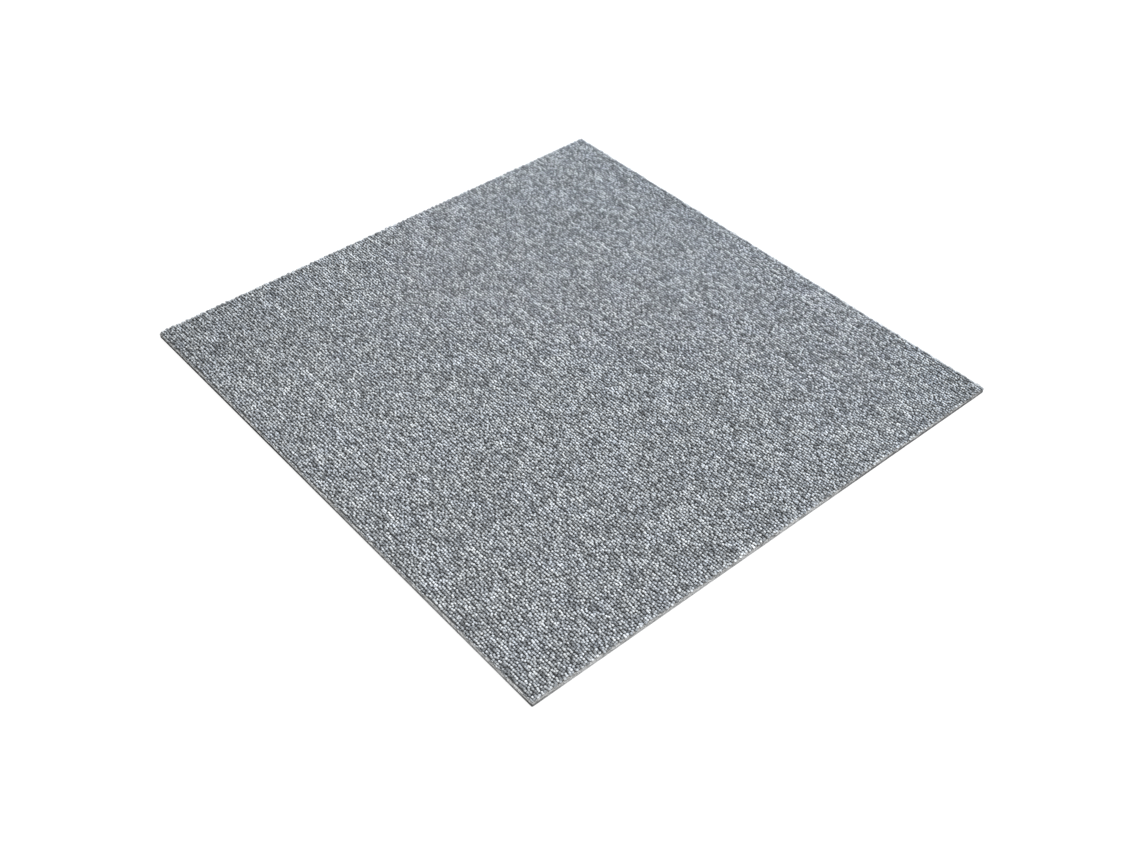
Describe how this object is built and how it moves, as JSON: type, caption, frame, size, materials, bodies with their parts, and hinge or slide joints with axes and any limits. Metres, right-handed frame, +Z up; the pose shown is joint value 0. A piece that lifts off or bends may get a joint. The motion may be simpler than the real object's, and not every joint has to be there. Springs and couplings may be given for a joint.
{
  "type": "carpet tile",
  "caption": "Square grey loop-pile carpet tile: melange pile on a light primary backing cloth, bonded to a thin dark bitumen backing.",
  "frame": {"origin": "middle of the underside, on the floor", "axes": "+Z up, out of the pile; the tufted rows run along Y; the sides run along X and Y"},
  "size_m": [0.5, 0.5, 0.006],
  "materials": {
    "pile_yarn": "matt looped yarn in mixed light, mid and dark slate greys",
    "primary_cloth": "light nonwoven cloth with cut yarn ends and latex pre-coat",
    "bitumen": "matt near-black bitumen compound with a fine fleece underside"
  },
  "bodies": {
    "root": {"loop_pile": "pile_yarn", "primary_backing": "primary_cloth", "bitumen_backing": "bitumen"}
  },
  "joints": []
}
